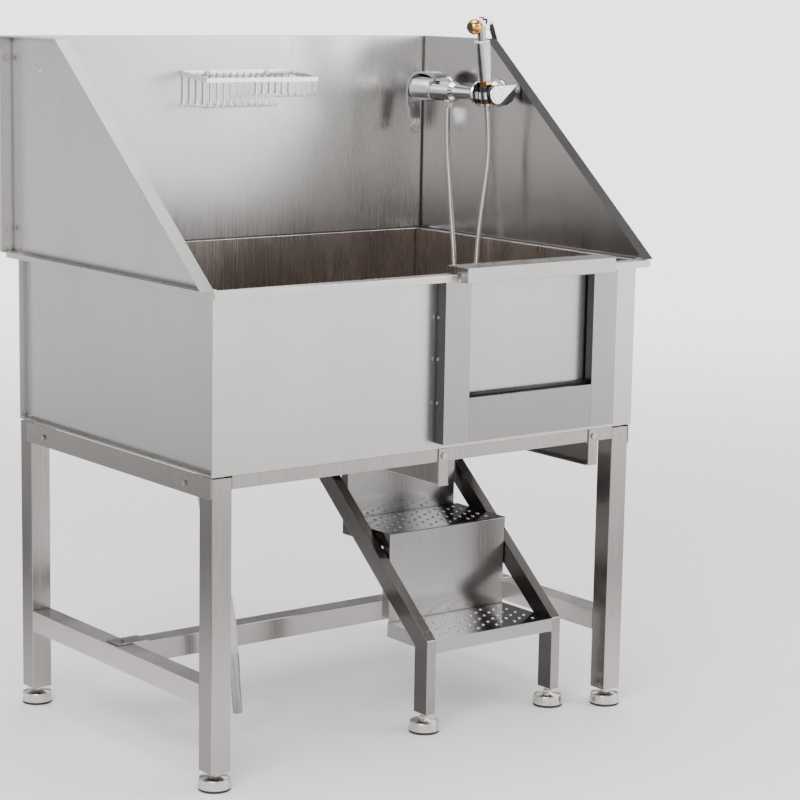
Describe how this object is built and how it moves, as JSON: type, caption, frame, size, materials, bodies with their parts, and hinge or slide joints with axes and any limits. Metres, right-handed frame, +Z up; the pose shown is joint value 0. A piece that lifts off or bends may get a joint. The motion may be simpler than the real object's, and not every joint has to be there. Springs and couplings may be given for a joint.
{
  "type": "pet bathtub",
  "caption": "Stainless steel walk-in grooming tub on a square-tube frame, with lift-up door, splash panels, slide-out stairs, mixer, hand sprayer, basket and drain.",
  "frame": {"origin": "on the floor, under the middle of the outer box", "axes": "+X to the right seen from the front, +Y to the back, +Z up"},
  "size_m": [1.214, 0.898, 1.5765],
  "materials": {
    "sheet_steel": "brushed",
    "tube_steel": "satin",
    "fasteners": "plain",
    "chrome": "polished",
    "brass": "polished",
    "feet": "satin nickel",
    "rubber": "matt",
    "black_plastic": "matt",
    "cream_plastic": "gloss",
    "rollers": "matt",
    "metal_hose": "polished, wound",
    "ribbed_hose": "satin"
  },
  "bodies": {
    "tub_and_frame": {"aprons": "tube_steel", "basket_bands": "chrome", "basket_wires": "chrome", "bolts": "fasteners", "door_guides": "sheet_steel", "door_seal": "rubber", "door_sill": "sheet_steel", "drain_flange": "chrome", "drain_hose": "ribbed_hose", "drain_locknut": "chrome", "drain_tail": "chrome", "holder_cup": "chrome", "holder_insert": "black_plastic", "leg_back_left": "tube_steel", "leg_back_right": "tube_steel", "leg_front_left": "tube_steel", "leg_front_right": "tube_steel", "mid_stretcher": "tube_steel", "mixer_body": "chrome", "rail_runners": "tube_steel", "shower_hose": "metal_hose", "side_stretchers": "tube_steel", "splash_back": "sheet_steel", "splash_left": "sheet_steel", "splash_right": "sheet_steel", "sprayer_collar": "brass", "sprayer_handle": "chrome", "sprayer_head": "brass", "sprayer_nozzle": "black_plastic", "sprayer_ring": "cream_plastic", "stair_rails": "tube_steel", "tub_rails": "tube_steel", "tub_side_left": "sheet_steel", "tub_side_right": "sheet_steel", "tub_wrap": "sheet_steel", "wall_unions": "chrome"},
    "door": {"door_panel": "sheet_steel", "door_cap": "sheet_steel"},
    "stairs": {"stair_side_left": "tube_steel", "stair_side_right": "tube_steel", "stair_axle": "tube_steel", "tread_lower": "sheet_steel", "tread_upper": "sheet_steel", "riser_lower": "sheet_steel", "riser_upper": "sheet_steel", "stair_feet": "feet", "stair_pads": "rubber"},
    "stair_rollers": {"stair_rollers": "rollers"},
    "mixer_lever": {"mixer_lever": "chrome"},
    "holder_knob": {"holder_knob": "chrome"},
    "sprayer_trigger": {"sprayer_trigger": "chrome"},
    "drain_strainer": {"drain_strainer": "chrome"},
    "foot_front_left": {"foot_front_left": "feet", "foot_pad_front_left": "rubber"},
    "foot_front_right": {"foot_front_right": "feet", "foot_pad_front_right": "rubber"},
    "foot_back_left": {"foot_back_left": "feet", "foot_pad_back_left": "rubber"},
    "foot_back_right": {"foot_back_right": "feet", "foot_pad_back_right": "rubber"}
  },
  "joints": [
    {"name": "door_lift", "type": "slide", "parent": "tub_and_frame", "child": "door", "axis": [0, 0, 1], "range_m": [0, 0.29]},
    {"name": "stairs_slide", "type": "slide", "parent": "tub_and_frame", "child": "stairs", "axis": [0, -1, 0], "range_m": [0, 0.4]},
    {"name": "rollers_turn", "type": "hinge", "parent": "stairs", "child": "stair_rollers", "pos_m": [0.242, 0.15, 0.5984], "axis": [1, 0, 0], "continuous": true},
    {"name": "mixer_lever_turn", "type": "hinge", "parent": "tub_and_frame", "child": "mixer_lever", "pos_m": [0.505, 0.34, 1.3945], "axis": [0, 1, 0], "range_deg": [-30, 30]},
    {"name": "holder_knob_turn", "type": "hinge", "parent": "tub_and_frame", "child": "holder_knob", "pos_m": [0.505, 0.05, 1.3945], "axis": [0, 1, 0], "range_deg": [0, 75]},
    {"name": "trigger_squeeze", "type": "hinge", "parent": "tub_and_frame", "child": "sprayer_trigger", "pos_m": [0.503, 0.082, 1.565], "axis": [0, 1, 0], "range_deg": [0, 12], "stiffness_Nm_per_rad": 0.6, "springref_deg": -20.05},
    {"name": "strainer_lift", "type": "slide", "parent": "tub_and_frame", "child": "drain_strainer", "axis": [0, 0, 1], "range_m": [0, 0.06]},
    {"name": "foot_front_left_turn", "type": "hinge", "parent": "tub_and_frame", "child": "foot_front_left", "pos_m": [-0.542, -0.359, 0], "axis": [0, 0, 1], "continuous": true},
    {"name": "foot_front_right_turn", "type": "hinge", "parent": "tub_and_frame", "child": "foot_front_right", "pos_m": [0.542, -0.359, 0], "axis": [0, 0, 1], "continuous": true},
    {"name": "foot_back_left_turn", "type": "hinge", "parent": "tub_and_frame", "child": "foot_back_left", "pos_m": [-0.542, 0.39, 0], "axis": [0, 0, 1], "continuous": true},
    {"name": "foot_back_right_turn", "type": "hinge", "parent": "tub_and_frame", "child": "foot_back_right", "pos_m": [0.542, 0.39, 0], "axis": [0, 0, 1], "continuous": true}
  ]
}
